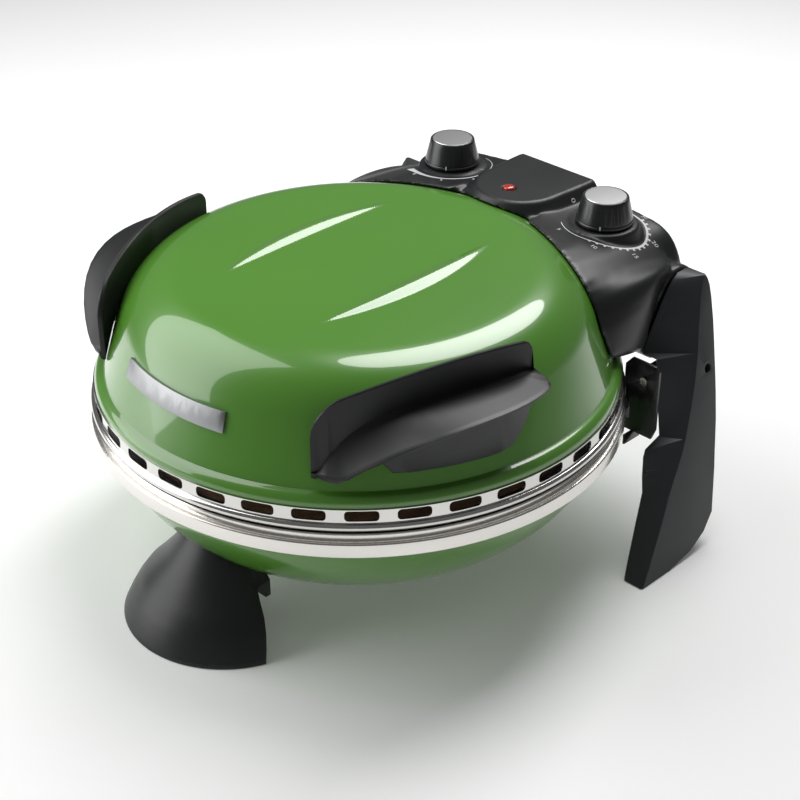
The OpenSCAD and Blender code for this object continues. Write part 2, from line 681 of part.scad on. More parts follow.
leg_screw = [hinge_y - 3, 114];
module rear_leg() {
    pad = 5;
    difference() {
        union() {
            difference() {
                loft([for (row = leg_rows) leg_ring(row, 0, 0)]);
                loft([for (i = [2:len(leg_rows) - 3]) leg_ring(leg_rows[i], leg_wall,
                    leg_rows[i][0] < 127 ? -leg_open : leg_wall)]);
            }
            translate([arm_out_x + bracket_t + 0.1, leg_screw.x, leg_screw.y]) rotate([0, 90, 0])
                cylinder(r = pad, h = leg_out(leg_screw.y) - arm_out_x - bracket_t - 1);
            for (z = [33, 60]) intersection() {
                loft([for (i = [2:9]) leg_ring(leg_rows[i], 1, 2)]);
                translate([0, 0, z]) cube([200, 200, 2.4]);
            }
        }
        translate([100, leg_screw.x, leg_screw.y]) rotate([0, 90, 0])
            cylinder(r = 1.7, h = 100);
        translate([leg_out(leg_screw.y) - 6, leg_screw.x, leg_screw.y]) rotate([0, 90, 0])
            cylinder(r = 3.2, h = 20);
        translate([boss_gap_x - 5, hinge_y, hinge_z]) rotate([0, 90, 0])
            cylinder(r = pin_r + run_gap, h = 10);
    }
}

module rear_leg_right() color(black) placed() rear_leg();
module rear_leg_left() color(black) placed() mirror([1, 0, 0]) rear_leg();

// Steel bracket from the band of the base up to a hinge pin
bracket_t = 2;
arm_out_x = boss_x + 7;
flange_y = hinge_y - 49;
flange_x = boss_x - 1.5;
plate_screw = [boss_x + 14.5, 117];
module hinge_bracket() {
    strap_r = band_r + 0.3;
    strap_a = acos(flange_x / (strap_r + bracket_t));
    strap_0 = 38;
    difference() {
        union() {
            rotate([0, 0, strap_0]) rotate_extrude(angle = strap_a - strap_0)
                translate([strap_r, band_z + 1]) square([bracket_t, band_h - 3]);
            translate([flange_x, flange_y + bracket_t, 0]) rotate([90, 0, 0])
                linear_extrude(bracket_t) polygon([[0, 76], [24, 76], [27, 84], [27, 127],
                    [24, 130], [5, 130], [0, 124]]);
            along_x(arm_out_x, arm_out_x + bracket_t) polygon(concat(
                [[flange_y, 76], [flange_y + 8, 76], [flange_y + 14, 92], [hinge_y - 12, 104]],
                arc(leg_screw.x, leg_screw.y, 7, -60, 20, 4), [[hinge_y + 3, 130]],
                arc(hinge_y, hinge_z, pin_r + 3.5, 0, 150, 8), [[hinge_y - 16.5, 143],
                [hinge_y - 25, 127], [hinge_y - 26, 121], [flange_y, 120]]));
            translate([arm_out_x, flange_y - 9, 70]) cube([1.5, 16, 7]);
        }
        translate([arm_out_x, hinge_y, hinge_z]) rotate([0, 90, 0])
            cylinder(r = pin_r + run_gap, h = 10, center = true);
        translate([arm_out_x, leg_screw.x, leg_screw.y]) rotate([0, 90, 0])
            cylinder(r = screw_r + 0.1, h = 10, center = true);
        translate([plate_screw.x, flange_y, plate_screw.y]) rotate([90, 0, 0])
            cylinder(r = screw_r + 0.1, h = 10, center = true);
    }
}

module hinge_bracket_right() color(dark_steel) placed() hinge_bracket();
module hinge_bracket_left() color(dark_steel) placed() mirror([1, 0, 0]) hinge_bracket();

// Riveted hinge pins
module hinge_pins() color(steel) placed() for (side = [-1, 1]) scale([side, 1, 1])
    translate([0, hinge_y, hinge_z]) rotate([0, 90, 0]) {
        translate([0, 0, arm_x - 1.7]) cylinder(r = pin_r, h = arm_out_x + bracket_t - arm_x + 3.4);
        translate([0, 0, arm_x - 1.7]) cylinder(r = pin_r + 2, h = 1.5);
        translate([0, 0, arm_out_x + bracket_t + 0.2]) cylinder(r = pin_r + 2, h = 1.5);
    }

// Screws
screw_r = 1.5;
module screw(l) {
    difference() {
        union() {
            cylinder(r = screw_r, h = l);
            translate([0, 0, -1.6]) cylinder(r = 2.8, h = 1.6 - face_gap);
        }
        for (a = [0, 90]) rotate([0, 0, a]) translate([-1.7, -0.35, -2]) cube([3.4, 0.7, 1.3]);
    }
}

module leg_screws() color(steel) placed() for (side = [-1, 1]) scale([side, 1, 1])
    translate([leg_out(leg_screw.y) - 6 - face_gap, leg_screw.x, leg_screw.y])
        rotate([0, -90, 0]) screw(leg_out(leg_screw.y) - 6 - arm_out_x + 1);

module bracket_screws() color(steel) placed() for (side = [-1, 1]) scale([side, 1, 1])
    translate([plate_screw.x, flange_y - face_gap, plate_screw.y]) rotate([-90, 0, 0]) screw(7);

// Bare badge plate on the front of the dome
module front_badge() color("#C4C5C6") placed() {
    sweep = 34;
    z0 = crease_z + 22;
    z1 = z0 + 12;
    off = 0.1;
    t = 1.6;
    rotate([0, 0, -91 - sweep / 2]) rotate_extrude(angle = sweep)
        polygon([[dome_r(z0) + off, z0], [dome_r(z0) + off + t, z0 + 0.6],
            [dome_r(z1) + off + t, z1 + 0.6], [dome_r(z1) + off, z1]]);
}

// Grips: a tall shield, a blade swept out of it and a foot that follows the dome. All of
// it is worked out on upright sections through the middle of the dome, by azimuth.
grip_0 = -53.7;
grip_1 = -0.8;
near_a = -15;
widest_a = -24;
crest_a = -17;
grip_gap = fit_gap + 0.2;
foot_z = crease_z + 9.7;

// Middle of the shield's wall: an arc seen from above.
function shield_r(a) = let (e = grip_arc_r - (crease_r - grip_inset))
    sqrt(pow(grip_arc_r, 2) - pow(e * sin(a - near_a), 2)) - e * cos(a - near_a);

// Distance along the shield between two azimuths, and the fall of a rounded corner.
function along(a) = a * 150 * PI / 180;
function corner(d, r) = d >= r ? 0 : r - sqrt(r * r - pow(r - max(d, 0), 2));

function shield_top(a) = top_z + grip_rise - pow(along(a - crest_a), 2) / 571
    - corner(along(a - grip_0), 17) - corner(along(grip_1 - a), 6);
function blade_reach(a) = max(1, a < widest_a
    ? blade_w * (1 - pow((widest_a - a) / (widest_a - grip_0), 2.1))
    : let (x = (a - widest_a) / (grip_1 - widest_a))
        blade_w * (1 - 0.4 * pow(x, 2) - 0.6 * pow(x, 24)));
function blade_edge(a) = let (z = top_z - blade_drop)
    max(foot_z + 2.5, z - (a < near_a ? 38.5 * pow((near_a - a) / 33.5, 2.4) : 0));
function blade_root(a) = max(blade_edge(a) - 2, top_z - blade_drop - 1.5
    - pow(along(a - crest_a), 2) / 685 - corner(along(a - grip_0), 40));
function foot_low(a) = foot_z + 31 * pow(max(0, (a + 13) / (grip_1 + 13)), 1.7)
    + 9 * (1 - sqrt(1 - pow(min(1, max(0, (-36 - a) / 4)), 2)));

function grip_ring(a) = let (r0 = shield_r(a) - grip_t / 2, r1 = r0 + grip_t,
    top = shield_top(a), reach = blade_reach(a), edge_r = r1 + reach,
    root = blade_root(a), edge = blade_edge(a), slope = (root - edge) / reach,
    t = grip_t * min(1, reach / 5), drop = t * sqrt(1 + slope * slope),
    mid = dome_top([r0 - grip_gap, 0]), skirt_r = min(dome_r(foot_low(a)) + 2.6, edge_r - 0.6),
    under = min(root - slope * max(0, skirt_r - r1), root - 0.5) - drop,
    low = min(foot_low(a), under - 1, mid - 1),
    lean = [slope, 1] / sqrt(1 + slope * slope),
    pts = [for (k = [0:8]) let (z = low + (mid - low) * k / 8) [dome_r(z) + grip_gap, z],
        [r0, top - 0.8], [r0 + 0.8, top], [r1 - 0.8, top], [r1, top - 0.8], [r1, root + 1.5],
        [r1 + reach * 0.12, root - slope * reach * 0.12 + 0.3],
        [edge_r - reach * 0.1, edge + slope * reach * 0.1], [edge_r, edge - t * 0.3],
        [edge_r, edge - t * 0.3] - t * 0.5 * lean + [-0.2, 0],
        [edge_r - reach * 0.1, edge + slope * reach * 0.1 - drop], [max(skirt_r, r1), under],
        [max(skirt_r, dome_r(low) + grip_gap + 1.6), low + 1],
        [dome_r(low) + grip_gap + 1.4, low]])
    [for (p = pts) [p.x * cos(a), p.x * sin(a), p.y]];

grip_steps = 24;
module grip() {
    loft([for (i = [0:grip_steps])
        grip_ring((grip_0 + grip_1) / 2 - (grip_1 - grip_0) / 2 * cos(180 * i / grip_steps))]);
}

module grip_right() color(black) placed() grip();
module grip_left() color(black) placed() mirror([1, 0, 0]) grip();

lid_dome();
lid_vent_ring();
lid_liner();
upper_element();
upper_element_clips();
grip_left();
grip_right();
front_badge();
control_housing();
housing_floor();
thermostat_knob();
thermostat_knob_disc();
thermostat_shaft();
thermostat_body();
timer_knob();
timer_knob_disc();
timer_shaft();
timer_body();
pilot_lens();
pilot_lamp();
terminal_block();
cord_bush();
lid_hinge_arms();
hinge_pins();
hinge_bracket_left();
hinge_bracket_right();
bracket_screws();
rear_leg_left();
rear_leg_right();
leg_screws();
base_rim_band();
base_bowl();
base_liner();
baking_stone();
lower_element();
lower_element_clips();
front_foot();
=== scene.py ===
"""Countertop pizza oven: looks, printed scales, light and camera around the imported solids."""
import bpy
import json
import math
from mathutils import Matrix, Vector


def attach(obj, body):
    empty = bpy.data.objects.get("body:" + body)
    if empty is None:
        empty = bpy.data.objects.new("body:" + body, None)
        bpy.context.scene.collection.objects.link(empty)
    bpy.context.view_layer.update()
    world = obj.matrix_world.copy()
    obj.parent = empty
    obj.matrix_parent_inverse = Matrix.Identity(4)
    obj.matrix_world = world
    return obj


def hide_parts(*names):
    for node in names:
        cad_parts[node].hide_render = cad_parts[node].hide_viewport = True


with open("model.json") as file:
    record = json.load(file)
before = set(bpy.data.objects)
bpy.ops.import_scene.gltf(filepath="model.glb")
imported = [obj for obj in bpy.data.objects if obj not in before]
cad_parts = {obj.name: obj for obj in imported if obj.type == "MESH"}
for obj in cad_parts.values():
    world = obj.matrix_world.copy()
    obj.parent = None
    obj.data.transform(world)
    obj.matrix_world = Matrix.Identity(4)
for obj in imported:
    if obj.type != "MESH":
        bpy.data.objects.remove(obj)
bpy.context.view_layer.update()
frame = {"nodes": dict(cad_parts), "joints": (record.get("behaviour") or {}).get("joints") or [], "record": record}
nodes = frame["nodes"]
joints = {j["name"]: j for j in frame["joints"]}
MM = 0.001

# The dome, the rings and the bowl turn about the oven's axis, which stands at x = 0 and
# y = OVEN_Y in metres. The other places below are in millimetres from that axis and from
# the floor. The hinge axis runs along x.
HINGE_Y = 175.0
HINGE_Z = 155.0
OVEN_Y = joints["lid_hinge"]["pos_m"][1] - HINGE_Y * MM

# The knobs' axes stand at x = KNOB_X and -KNOB_X.
KNOB_X = 68.2
KNOB_Y = 158.8


# ---------------------------------------------------------------- camera

CAMERA_LENS_MM = 81.19
CAMERA_SENSOR_MM = 36.0
CAMERA_REACH = 50.0
CAMERA_RIGHT = (0.71175, 0.70243, -0.00145)
CAMERA_BACK = (0.60191, -0.60883, 0.51674)
CAMERA_PLACE = (0.725215, -0.696020, 0.706670)


def set_camera():
    """Camera at the viewing angle of a product shot: from the front right and above."""
    data = bpy.data.cameras.new("product_camera")
    data.lens = CAMERA_LENS_MM
    data.sensor_width = CAMERA_SENSOR_MM
    data.clip_end = CAMERA_REACH
    camera = bpy.data.objects.new("product_camera", data)
    right = Vector(CAMERA_RIGHT).normalized()
    back = Vector(CAMERA_BACK).normalized()
    up = back.cross(right).normalized()
    right = up.cross(back)
    place = Matrix((right, up, back)).transposed().to_4x4()
    place.translation = Vector((CAMERA_PLACE[0], CAMERA_PLACE[1] + OVEN_Y, CAMERA_PLACE[2]))
    camera.matrix_world = place
    bpy.context.scene.collection.objects.link(camera)
    bpy.context.scene.camera = camera


# ---------------------------------------------------------------- materials

# The Mix node's sockets for colours: two inputs and the result.
COLOUR_A = 6
COLOUR_B = 7
COLOUR_RESULT = 2


def colour(hex_code):
    """sRGB hex to the linear colour that a shader takes."""
    values = [int(hex_code[i:i + 2], 16) / 255 for i in (1, 3, 5)]
    return tuple(v / 12.92 if v <= 0.04045 else ((v + 0.055) / 1.055) ** 2.4
                 for v in values) + (1.0,)


def add(tree, kind, links=None, values=None, **settings):
    """Adds a node with its settings, its input values and its links (input: socket)."""
    node = tree.nodes.new(kind)
    for name, value in settings.items():
        setattr(node, name, value)
    for name, value in (values or {}).items():
        node.inputs[name].default_value = value
    for name, socket in (links or {}).items():
        tree.links.new(socket, node.inputs[name])
    return node


def new_material(name, **surface):
    """A named material with one Principled shader; surface holds its socket values."""
    material = bpy.data.materials.new(name)
    material.use_nodes = True
    tree = material.node_tree
    tree.nodes.clear()
    shader = add(tree, "ShaderNodeBsdfPrincipled",
                 values={key.replace("_", " "): value for key, value in surface.items()})
    add(tree, "ShaderNodeOutputMaterial", links={"Surface": shader.outputs["BSDF"]})
    return material, tree, shader


def grain(tree, shader, size_mm, height_mm, detail=2.0, strength=1.0):
    """Moulded or sprayed grain: noise at a real size, raised by a real height."""
    where = add(tree, "ShaderNodeTexCoord")
    noise = add(tree, "ShaderNodeTexNoise", links={"Vector": where.outputs["Object"]},
                values={"Scale": 1000.0 / size_mm, "Detail": detail, "Roughness": 0.55})
    bump = add(tree, "ShaderNodeBump", links={"Height": noise.outputs["Fac"]},
               values={"Distance": height_mm * MM, "Strength": strength})
    tree.links.new(bump.outputs["Normal"], shader.inputs["Normal"])
    return where, bump


def mottle(tree, shader, where, size_mm, low, high):
    """Slow change of colour between two shades over the surface."""
    noise = add(tree, "ShaderNodeTexNoise", links={"Vector": where.outputs["Object"]},
                values={"Scale": 1000.0 / size_mm, "Detail": 4.0})
    blend = add(tree, "ShaderNodeMix", links={"Factor": noise.outputs["Fac"]},
                data_type="RGBA")
    blend.inputs[COLOUR_A].default_value = low
    blend.inputs[COLOUR_B].default_value = high
    tree.links.new(blend.outputs[COLOUR_RESULT], shader.inputs["Base Color"])
    return blend


def uneven_gloss(tree, shader, where, size_mm, low, high):
    """Roughness that wanders between two values, as wiped and handled surfaces do."""
    noise = add(tree, "ShaderNodeTexNoise", links={"Vector": where.outputs["Object"]},
                values={"Scale": 1000.0 / size_mm, "Detail": 3.0})
    spread = add(tree, "ShaderNodeMapRange", links={"Value": noise.outputs["Fac"]},
                 values={"From Min": 0.3, "From Max": 0.7, "To Min": low, "To Max": high})
    tree.links.new(spread.outputs["Result"], shader.inputs["Roughness"])


def turned_lines(tree, centre, pitch_mm):
    """Fine lines that run round an axis along Z: noise that reads only radius and height."""
    where = add(tree, "ShaderNodeTexCoord")
    move = add(tree, "ShaderNodeMapping", links={"Vector": where.outputs["Object"]},
               values={"Location": (-centre[0], -centre[1], 0.0)})
    split = add(tree, "ShaderNodeSeparateXYZ", links={"Vector": move.outputs["Vector"]})
    flat = add(tree, "ShaderNodeCombineXYZ", links={"X": split.outputs["X"],
                                                    "Y": split.outputs["Y"]})
    radius = add(tree, "ShaderNodeVectorMath", links={0: flat.outputs["Vector"]},
                 operation="LENGTH")
    line = add(tree, "ShaderNodeCombineXYZ", links={"X": radius.outputs["Value"],
                                                    "Y": split.outputs["Z"]})
    noise = add(tree, "ShaderNodeTexNoise", links={"Vector": line.outputs["Vector"]},
                values={"Scale": 1000.0 / pitch_mm, "Detail": 3.0, "Roughness": 0.7})
    return noise


def enamel(name, hex_light, hex_deep):
    """Enamel sprayed on steel and fired: deep, even and very glossy, with faint orange peel."""
    material, tree, shader = new_material(
        name, Base_Color=colour(hex_light), Roughness=0.28, IOR=1.5,
        Coat_Weight=1.0, Coat_Roughness=0.04, Coat_IOR=1.52)
    where, bump = grain(tree, shader, 9.0, 0.02, detail=1.0, strength=0.35)
    mottle(tree, shader, where, 160.0, colour(hex_light), colour(hex_deep))
    tree.links.new(bump.outputs["Normal"], shader.inputs["Coat Normal"])
    return material


def polished_stainless(name, tone, rough, centre):
    """Stainless strip, rolled and polished along its length: faint lines round the oven."""
    material, tree, shader = new_material(name, Base_Color=colour(tone), Metallic=1.0,
                                          Roughness=rough)
    noise = turned_lines(tree, centre, 0.6)
    spread = add(tree, "ShaderNodeMapRange", links={"Value": noise.outputs["Fac"]},
                 values={"From Min": 0.3, "From Max": 0.7, "To Min": rough * 0.75,
                         "To Max": rough * 1.3})
    tree.links.new(spread.outputs["Result"], shader.inputs["Roughness"])
    bump = add(tree, "ShaderNodeBump", links={"Height": noise.outputs["Fac"]},
               values={"Distance": 0.004 * MM, "Strength": 0.5})
    tree.links.new(bump.outputs["Normal"], shader.inputs["Normal"])
    return material


def spun_aluminium(name, centre):
    """Aluminium disc faced on a lathe: fine rings that spread the light."""
    material, tree, shader = new_material(name, Base_Color=colour("#EEEEEE"), Metallic=1.0,
                                          Roughness=0.32)
    noise = turned_lines(tree, centre, 0.25)
    bump = add(tree, "ShaderNodeBump", links={"Height": noise.outputs["Fac"]},
               values={"Distance": 0.01 * MM, "Strength": 0.6})
    tree.links.new(bump.outputs["Normal"], shader.inputs["Normal"])
    return material


def rolled_sheet(name, tone, rough):
    """Mill-finish sheet, pressed: cloudy gloss with fine rolling grain."""
    material, tree, shader = new_material(name, Base_Color=colour(tone), Metallic=1.0,
                                          Roughness=rough)
    where, _ = grain(tree, shader, 0.9, 0.005, detail=3.0, strength=0.4)
    uneven_gloss(tree, shader, where, 35.0, rough * 0.8, rough * 1.35)
    return material


def moulded_plastic(name, tone, shade, rough, size_mm, height_mm, coat=0.0):
    """Injection-moulded plastic, spark-eroded mould: a fine even grain, a soft sheen."""
    material, tree, shader = new_material(name, Base_Color=colour(tone), Roughness=rough,
                                          IOR=1.5, Coat_Weight=coat, Coat_Roughness=0.25)
    where, _ = grain(tree, shader, size_mm, height_mm, detail=2.0, strength=0.55)
    mottle(tree, shader, where, 45.0, colour(tone), colour(shade))
    uneven_gloss(tree, shader, where, 70.0, rough * 0.92, rough * 1.1)
    return material


def sheath_steel(name):
    """Heater sheath, bright annealed and blued by heat: dark with a straw and blue cast."""
    material, tree, shader = new_material(name, Base_Color=colour("#4A423C"), Metallic=1.0,
                                          Roughness=0.45)
    where, _ = grain(tree, shader, 1.2, 0.01, detail=3.0, strength=0.5)
    mottle(tree, shader, where, 30.0, colour("#57493C"), colour("#3A3C44"))
    return material


def fired_stone(name):
    """Cordierite slab, pressed and fired: chalky, with speckles of grog."""
    material, tree, shader = new_material(name, Base_Color=colour("#C7A687"), Roughness=0.92)
    where, _ = grain(tree, shader, 1.5, 0.12, detail=5.0, strength=0.7)
    base = mottle(tree, shader, where, 40.0, colour("#CDB08F"), colour("#B98F6C"))
    speck = add(tree, "ShaderNodeTexVoronoi", links={"Vector": where.outputs["Object"]},
                values={"Scale": 1000.0 / 3.0})
    cut = add(tree, "ShaderNodeMapRange", links={"Value": speck.outputs["Distance"]},
              values={"From Min": 0.12, "From Max": 0.2, "To Min": 0.7, "To Max": 0.0})
    mix = add(tree, "ShaderNodeMix", links={"Factor": cut.outputs["Result"]}, data_type="RGBA")
    tree.links.new(base.outputs[COLOUR_RESULT], mix.inputs[COLOUR_A])
    mix.inputs[COLOUR_B].default_value = colour("#7C5B45")
    tree.links.new(mix.outputs[COLOUR_RESULT], shader.inputs["Base Color"])
    return material


def lamp_lens(name):
    """Clear red acrylic, moulded and polished, lit a little from behind."""
    material, tree, shader = new_material(name, Base_Color=colour("#B52E1C"), Roughness=0.12,
                                          IOR=1.49, Coat_Weight=0.6, Coat_Roughness=0.05,
                                          Emission_Color=colour("#E0401F"),
                                          Emission_Strength=0.04)
    where, _ = grain(tree, shader, 1.6, 0.06, detail=0.0, strength=0.5)
    mottle(tree, shader, where, 3.0, colour("#C23A24"), colour("#8F1D12"))
    return material


def neon_glass(name):
    """Drawn glass tube of a neon lamp."""
    material, tree, shader = new_material(name, Base_Color=colour("#E8C4A8"), Roughness=0.08,
                                          IOR=1.5, Transmission_Weight=0.6)
    grain(tree, shader, 2.0, 0.01, detail=1.0, strength=0.2)
    return material


def screen_ink(name, tone):
    """Screen-printed ink, baked: flat and slightly raised at its edge, thin in places."""
    material, tree, shader = new_material(name, Base_Color=colour(tone), Roughness=0.55)
    where, _ = grain(tree, shader, 0.5, 0.004, detail=2.0, strength=0.4)
    mottle(tree, shader, where, 2.5, colour(tone), colour("#B9B9B7"))
    return material


def rubber(name):
    """Moulded rubber, matt, with a bloom of dust."""
    material, tree, shader = new_material(name, Base_Color=colour("#1B1B1B"), Roughness=0.8)
    where, _ = grain(tree, shader, 0.8, 0.02, detail=2.0, strength=0.5)
    mottle(tree, shader, where, 20.0, colour("#1A1A1A"), colour("#262524"))
    return material


def dress(node, material):
    """Gives a carried-over solid its material."""
    mesh = nodes[node].data
    if not mesh.materials:
        mesh.materials.append(material)
    for i in range(len(mesh.materials)):
        mesh.materials[i] = material


# ---------------------------------------------------------------- making of pieces

# An edge that turns more than this, in degrees, is rounded.
SHARP_EDGE = 40
# Copies: points closer than this merge, and faces within this angle count as flat.
COPY_MERGE = 0.002
FLAT_ANGLE = 0.3
SPIN_MERGE = 0.001
SETTLE_FACTOR = 0.5
SETTLE_SMOOTH = 60


def start_edit(piece):
    """Selects one piece alone and opens it in edit mode with everything selected."""
    bpy.ops.object.select_all(action="DESELECT")
    piece.select_set(True)
    bpy.context.view_layer.objects.active = piece
    bpy.ops.object.mode_set(mode="EDIT")
    bpy.ops.mesh.select_mode(type="VERT")
    bpy.ops.mesh.select_all(action="SELECT")


def end_edit():
    """Leaves edit mode."""
    bpy.ops.object.mode_set(mode="OBJECT")


def apply_modifier(piece, kind, **settings):
    """Adds a modifier with its settings and applies it."""
    bpy.ops.object.select_all(action="DESELECT")
    piece.select_set(True)
    bpy.context.view_layer.objects.active = piece
    modifier = piece.modifiers.new(kind.lower(), kind)
    for name, value in settings.items():
        setattr(modifier, name, value)
    bpy.ops.object.modifier_apply(modifier=modifier.name)


def shade(piece, degrees):
    """Smooth shading across all edges that turn less than an angle."""
    bpy.ops.object.select_all(action="DESELECT")
    piece.select_set(True)
    bpy.context.view_layer.objects.active = piece
    bpy.ops.object.shade_smooth_by_angle(angle=math.radians(degrees))


def finish_piece(piece, material, body, slot, *replaced):
    """Gives a new piece its material and its body, and hides the nodes it stands for. The slot is not used."""
    piece.data.materials.clear()
    piece.data.materials.append(material)
    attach(piece, body)
    if replaced:
        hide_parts(*replaced)
    return piece


def body_of(node):
    """The body that a carried-over solid belongs to."""
    for body, members in frame["record"]["behaviour"]["bodies"].items():
        if node in members:
            return body
    return None


def eased_copy(node, name, material, slot, ease_mm=0.0, smooth=35, segments=2):
    """A merged copy of a solid, with its sharp edges rounded and its curves shaded smooth."""
    piece = bpy.data.objects.new(name, nodes[node].data.copy())
    bpy.context.scene.collection.objects.link(piece)
    start_edit(piece)
    bpy.ops.mesh.customdata_custom_splitnormals_clear()
    bpy.ops.mesh.remove_doubles(threshold=COPY_MERGE * MM)
    bpy.ops.mesh.dissolve_limited(angle_limit=math.radians(FLAT_ANGLE))
    end_edit()
    if ease_mm:
        apply_modifier(piece, "BEVEL", width=ease_mm * MM, segments=segments,
                       limit_method="ANGLE", angle_limit=math.radians(SHARP_EDGE),
                       harden_normals=False, miter_outer="MITER_SHARP",
                       use_clamp_overlap=True)
    shade(piece, smooth)
    return finish_piece(piece, material, body_of(node), slot, node)


def spun_piece(name, outline, steps):
    """Turns a closed outline of (radius, height) in millimetres about the oven's axis."""
    bpy.ops.object.select_all(action="DESELECT")
    bpy.ops.mesh.primitive_circle_add(vertices=len(outline), radius=0.1)
    piece = bpy.context.object
    piece.name = name
    for vertex, (radius, height) in zip(piece.data.vertices, outline):
        vertex.co = (radius * MM, OVEN_Y, height * MM)
    start_edit(piece)
    bpy.ops.mesh.spin(steps=steps, angle=2 * math.pi, center=(0, OVEN_Y, 0), axis=(0, 0, 1))
    bpy.ops.mesh.select_all(action="SELECT")
    bpy.ops.mesh.remove_doubles(threshold=SPIN_MERGE * MM)
    bpy.ops.mesh.select_all(action="SELECT")
    bpy.ops.mesh.delete_loose(use_verts=True, use_edges=True, use_faces=False)
    bpy.ops.mesh.select_all(action="SELECT")
    bpy.ops.mesh.normals_make_consistent(inside=False)
    end_edit()
    return piece


def settle(piece, voxel_mm, passes, weight):
    """Rebuilds a piece as one even skin and evens it out, as far as weight(x, y, z) says."""
    apply_modifier(piece, "REMESH", mode="VOXEL", voxel_size=voxel_mm * MM)
    group = piece.vertex_groups.new(name="settle")
    for vertex in piece.data.vertices:
        x, y, z = vertex.co.x / MM, (vertex.co.y - OVEN_Y) / MM, vertex.co.z / MM
        group.add([vertex.index], weight(x, y, z), "REPLACE")
    apply_modifier(piece, "SMOOTH", factor=SETTLE_FACTOR, iterations=passes,
                   vertex_group="settle")
    shade(piece, SETTLE_SMOOTH)


def ramp(value, low, high):
    """0 below low, 1 above high, and a straight line between."""
    return max(0.0, min(1.0, (value - low) / (high - low)))


def arc(centre, radius, start, end, steps):
    """Points of an arc in the plane, from one angle to another in degrees."""
    turns = [math.radians(start + (end - start) * i / steps) for i in range(steps + 1)]
    return [(centre[0] + radius * math.cos(t), centre[1] + radius * math.sin(t)) for t in turns]


# ---------------------------------------------------------------- finishes

oven_axis = (0.0, OVEN_Y)
knob_left = (-KNOB_X * MM, KNOB_Y * MM + OVEN_Y)
knob_right = (KNOB_X * MM, KNOB_Y * MM + OVEN_Y)

green_enamel = enamel("green_vitreous_enamel", "#558F2A", "#4A8226")
band_steel = polished_stainless("polished_stainless_band", "#E3E0DB", 0.2, oven_axis)
ring_steel = polished_stainless("polished_stainless_ring", "#D9D8D5", 0.14, oven_axis)
reflector = rolled_sheet("aluminised_steel_reflector", "#C4C5C6", 0.35)
zinc_steel = rolled_sheet("zinc_plated_steel", "#BDBBB6", 0.3)
badge_plate = rolled_sheet("satin_aluminium_badge", "#9C9D9E", 0.36)
black_steel = moulded_plastic(
    "black_painted_steel", "#151617", "#1B1C1E", 0.35, 0.7, 0.008, 0.3)
black_plastic = moulded_plastic(
    "black_moulded_polyamide", "#141517", "#18191B", 0.38, 0.5, 0.012)
leg_plastic = moulded_plastic(
    "black_moulded_polyamide_leg", "#25272A", "#2A2C2F", 0.46, 0.5, 0.012)
grip_plastic = moulded_plastic("black_moulded_phenolic", "#131415", "#17181A", 0.4, 0.5, 0.012)
knob_plastic = moulded_plastic(
    "black_gloss_phenolic", "#17181A", "#1C1D20", 0.3, 0.6, 0.006, 0.4)
pale_plastic = moulded_plastic("pale_moulded_polyamide", "#D9D3C4", "#CFC8B8", 0.5, 0.6, 0.01)
sheath = sheath_steel("blued_heater_sheath")
stone = fired_stone("fired_cordierite")
red_lens = lamp_lens("red_acrylic_lens")
lamp_glass = neon_glass("neon_lamp_glass")
bush_rubber = rubber("black_moulded_rubber")
white_ink = screen_ink("white_screen_ink", "#E4E4E2")
grey_ink = screen_ink("pale_grey_screen_ink", "#C4C5C6")
disc_left = spun_aluminium("spun_aluminium_left", knob_left)
disc_right = spun_aluminium("spun_aluminium_right", knob_right)


# ---------------------------------------------------------------- dome

CROWN_TOP = 204.2
CROWN_RADIUS = 2500.0
SHOULDER_CENTRE = (107.9, 157.8)
SHOULDER_RADIUS = 44.0
SIDE_ANGLE = 70.0
CREASE = (162.0, 137.8)
FLANGE_RADIUS = 6.0
RING_TOP = 129.6
SHEET = 1.2
RIB_INNER = 43.0
RIB_WIDTH = 15.5
RIB_HALF_LENGTH = 77.0
RIB_HEIGHT = 3.0
# A rib's ridge line and foot are rounded by these shares of its width and height, and it
# fades out to this share of its half width.
RIB_RIDGE_ROUNDING = 0.012
RIB_FOOT_ROUNDING = 0.05
RIB_EDGE = 1.1
# Radius inside which the sheet carries ribs, and how far below the crown it still counts.
RIB_REACH = 105
RIB_DEPTH = 0.3
# Radii at which the crown has points, closer together across the ribs.
CROWN_RADII = [0.0, 12.0, 24.0, 34.0] + [38.0 + i for i in range(57)] + [100.0]
CROWN_RADII_INSIDE = [0.0, 50.0, 100.0]
SHOULDER_STEPS = 28
SHOULDER_STEPS_INSIDE = 12
FLANGE_START = 75
FLANGE_DROP = 0.5
FLANGE_STEPS = 10
FLANGE_STEPS_INSIDE = 6
FLANGE_GAP = 0.02
DOME_STEPS = 360
DOME_SMOOTH = 30


def crown_height(radius):
    """Height of the crown at a radius from the oven's axis."""
    return CROWN_TOP - CROWN_RADIUS + math.sqrt(CROWN_RADIUS ** 2 - radius ** 2)


def rib_height(x, y):
    """Height of the two pressed ribs, each a lens between a chord and an arc."""
    swell = 1 - (y / RIB_HALF_LENGTH) ** 2
    if swell <= 0:
        return 0.0
    across = 2 * (abs(x) - RIB_INNER) / (RIB_WIDTH * swell) - 1
    if abs(across) >= RIB_EDGE:
        return 0.0
    ridge = 1 - math.sqrt(across ** 2 + RIB_RIDGE_ROUNDING)
    eased = 0.5 * (ridge + math.sqrt(ridge ** 2 + RIB_FOOT_ROUNDING ** 2))
    return RIB_HEIGHT * swell * eased * ramp(RIB_EDGE - abs(across), 0.0, 0.1)


